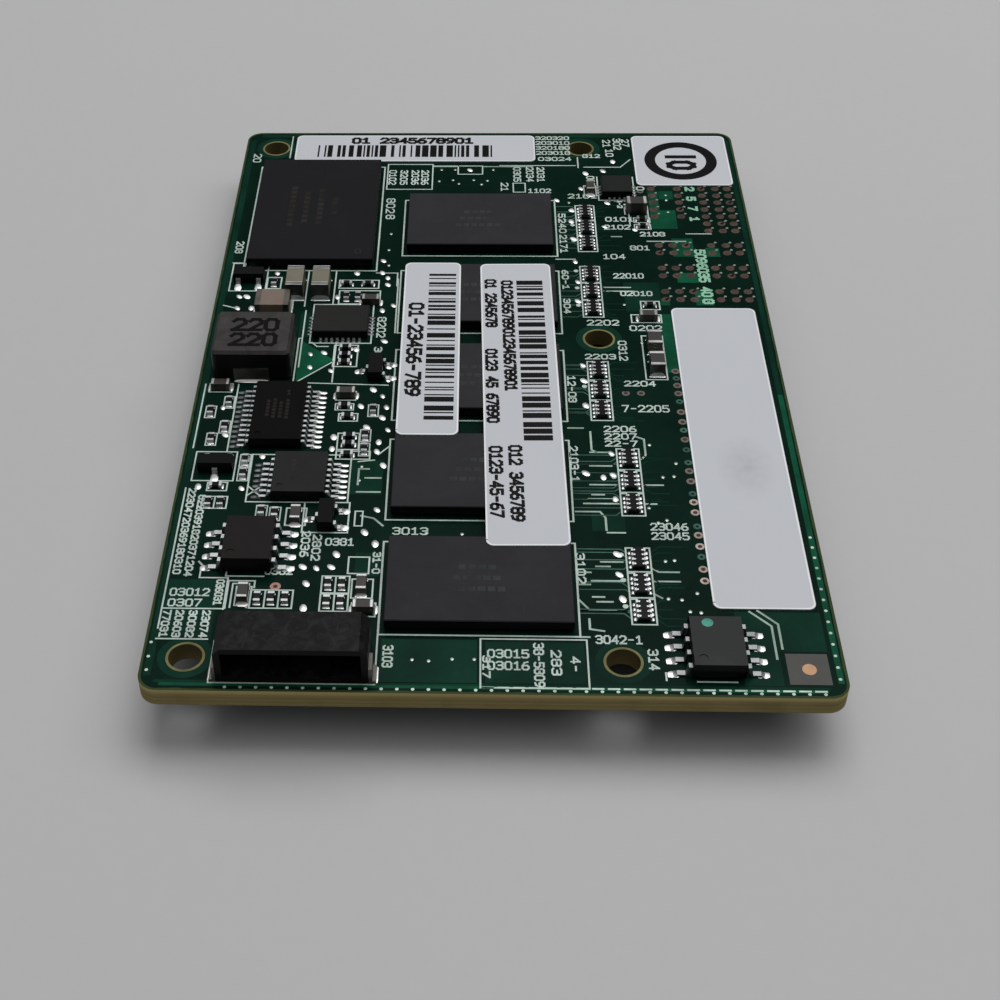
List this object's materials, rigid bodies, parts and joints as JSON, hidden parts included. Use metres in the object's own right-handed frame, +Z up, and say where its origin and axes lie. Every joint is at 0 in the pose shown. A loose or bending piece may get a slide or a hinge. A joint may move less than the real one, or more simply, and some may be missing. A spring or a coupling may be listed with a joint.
{
  "type": "raid cache mezzanine card",
  "caption": "Small green daughter card with a column of memory packages, power parts, a side-entry cable connector and a stacking connector underneath.",
  "frame": {"origin": "centre of the four corner mounting holes, on the board's lower face where the standoffs seat", "axes": "+X to the right edge with the stacking connector below it, +Y away from the cable connector's edge, +Z up out of the component side"},
  "size_m": [0.0508, 0.078, 0.009],
  "materials": {
    "circuit_laminate": "dark green solder mask over glass epoxy",
    "package_mould": "dark grey moulding compound",
    "coil_powder": "pressed iron powder in resin",
    "tinned_lead": "tin plated",
    "brown_ceramic": "fired ceramic, tan",
    "olive_ceramic": "fired ceramic, olive beige",
    "grey_ceramic": "fired ceramic, grey",
    "resistor_film": "black overcoat",
    "connector_plastic": "moulded black",
    "gilt_contact": "gold plated",
    "label_stock": "white synthetic paper"
  },
  "bodies": {
    "root": {"blank_label": "label_stock", "board_connector_contacts": "gilt_contact", "board_connector_housing": "connector_plastic", "cable_connector_contacts": "gilt_contact", "cable_connector_housing": "connector_plastic", "cable_connector_tabs": "tinned_lead", "chip_resistor_bodies": "resistor_film", "chip_resistor_end_caps": "tinned_lead", "circuit_board": "circuit_laminate", "clock_chip": "package_mould", "clock_chip_pads": "tinned_lead", "flash_chip": "package_mould", "front_transistor": "package_mould", "front_transistor_leads": "tinned_lead", "left_transistor": "package_mould", "left_transistor_leads": "tinned_lead", "memory_chip_1": "package_mould", "memory_chip_2": "package_mould", "memory_chip_3": "package_mould", "memory_chip_4": "package_mould", "memory_chip_5": "package_mould", "part_label": "label_stock", "period_label": "label_stock", "power_driver_chip": "package_mould", "power_driver_leads": "tinned_lead", "power_inductor": "coil_powder", "power_inductor_terminals": "tinned_lead", "power_monitor_chip": "package_mould", "power_monitor_leads": "tinned_lead", "power_switch_chip": "package_mould", "power_switch_leads": "tinned_lead", "rear_transistor": "package_mould", "rear_transistor_leads": "tinned_lead", "regulator_chip": "package_mould", "regulator_chip_pads": "tinned_lead", "resistor_array_bodies": "resistor_film", "resistor_array_terminals": "tinned_lead", "serial_label": "label_stock", "settings_memory_chip": "package_mould", "settings_memory_leads": "tinned_lead", "side_transistor": "package_mould", "side_transistor_leads": "tinned_lead", "small_capacitor_bodies": "brown_ceramic", "small_capacitor_end_caps": "tinned_lead", "stock_label": "label_stock", "supply_capacitor_bodies": "grey_ceramic", "supply_capacitor_end_caps": "tinned_lead", "tall_capacitor_bodies": "olive_ceramic", "tall_capacitor_end_caps": "tinned_lead", "underside_capacitor_bodies": "brown_ceramic", "underside_capacitor_end_caps": "tinned_lead", "wide_capacitor_bodies": "brown_ceramic", "wide_capacitor_end_caps": "tinned_lead"}
  },
  "joints": []
}
